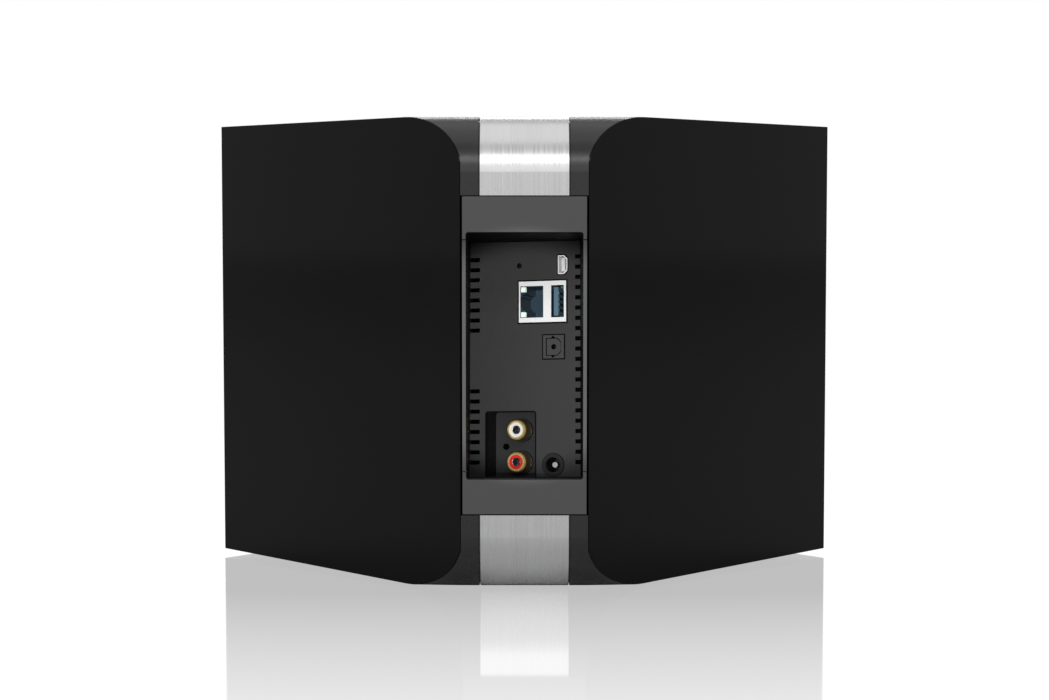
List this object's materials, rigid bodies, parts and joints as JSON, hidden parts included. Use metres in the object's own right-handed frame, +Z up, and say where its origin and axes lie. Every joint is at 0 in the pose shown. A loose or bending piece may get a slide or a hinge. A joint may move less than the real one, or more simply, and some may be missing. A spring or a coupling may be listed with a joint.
{
  "type": "network music player",
  "caption": "Compact hexagonal network music player with flared gloss side covers, a brushed metal band around a narrow spine, and a recessed rear bay of audio and data jacks.",
  "frame": {"origin": "on the table under the middle of the cabinet", "axes": "+X across the flared side edges (to the right as seen from the front), +Y towards the rear jack bay, +Z up"},
  "size_m": [0.2498, 0.196, 0.177],
  "materials": {
    "gloss_cover": "piano gloss",
    "wing_shell": "fine satin",
    "spine": "satin",
    "band": "fine brushed, anodised",
    "bezel": "satin moulded",
    "liner": "satin moulded",
    "jack_plate": "fine powder coat",
    "touch_glass": "polished",
    "circuit_board": "solder resist",
    "light": "frosted light guide",
    "fastener": "zinc plated",
    "foot_rubber": "soft matt",
    "bright_metal": "bright tin plate",
    "socket_plastic": "moulded",
    "gold": "thin gold plate",
    "contact_metal": "nickel plate",
    "white_insulator": "moulded",
    "red_insulator": "moulded",
    "network_light": "clear lens",
    "optical_lens": "clear red",
    "button": "moulded",
    "chip": "moulded epoxy",
    "capacitor_can": "bright can",
    "heat_metal": "mill finish",
    "soft_pad": "silicone",
    "ribbon": "flat flexible cable"
  },
  "bodies": {
    "housing": {"left_side_cover": "gloss_cover", "right_side_cover": "gloss_cover", "left_wing_shell": "wing_shell", "right_wing_shell": "wing_shell", "spine_frame": "spine", "aluminium_band": "band", "upper_bezel": "bezel", "lower_bezel": "bezel", "bay_liner": "liner", "connector_plate": "jack_plate", "jack_pocket": "jack_plate", "touch_strip": "touch_glass", "touch_board": "circuit_board", "light_board": "circuit_board", "main_board": "circuit_board", "side_board": "circuit_board", "left_antenna": "circuit_board", "right_antenna": "circuit_board", "light_pipe": "light", "wing_screws": "fastener", "plate_screws": "fastener", "phono_screw": "fastener", "rubber_feet": "foot_rubber", "network_usb_shield": "bright_metal", "service_port_shell": "bright_metal", "wireless_module": "bright_metal", "network_socket": "socket_plastic", "usb_socket": "socket_plastic", "service_port_tongue": "socket_plastic", "optical_socket": "socket_plastic", "phono_block": "socket_plastic", "power_inlet": "socket_plastic", "reset_switch": "socket_plastic", "white_phono_collar": "socket_plastic", "red_phono_collar": "socket_plastic", "network_contacts": "gold", "usb_contacts": "gold", "white_phono_shell": "gold", "red_phono_shell": "gold", "white_phono_contact": "contact_metal", "red_phono_contact": "contact_metal", "power_pin": "contact_metal", "snap_dome": "contact_metal", "board_tray": "contact_metal", "tray_posts": "contact_metal", "white_phono_core": "white_insulator", "red_phono_core": "red_insulator", "network_lights": "network_light", "optical_emitter": "optical_lens", "processor": "chip", "memory_chips": "chip", "audio_converter": "chip", "inductors": "chip", "capacitors": "capacitor_can", "heat_spreader": "heat_metal", "thermal_pad": "soft_pad", "ribbon_cable": "ribbon"},
    "reset_button": {"reset_button": "button"},
    "dust_plug": {"optical_dust_plug": "socket_plastic"}
  },
  "joints": [
    {"name": "reset_press", "type": "slide", "parent": "housing", "child": "reset_button", "axis": [-0.309, -0.9429, -0.1241], "range_m": [0, 0.0005], "stiffness_N_per_m": 1000},
    {"name": "dust_plug_pull", "type": "slide", "parent": "housing", "child": "dust_plug", "axis": [0.309, 0.9429, 0.1241], "range_m": [0, 0.0075]}
  ]
}
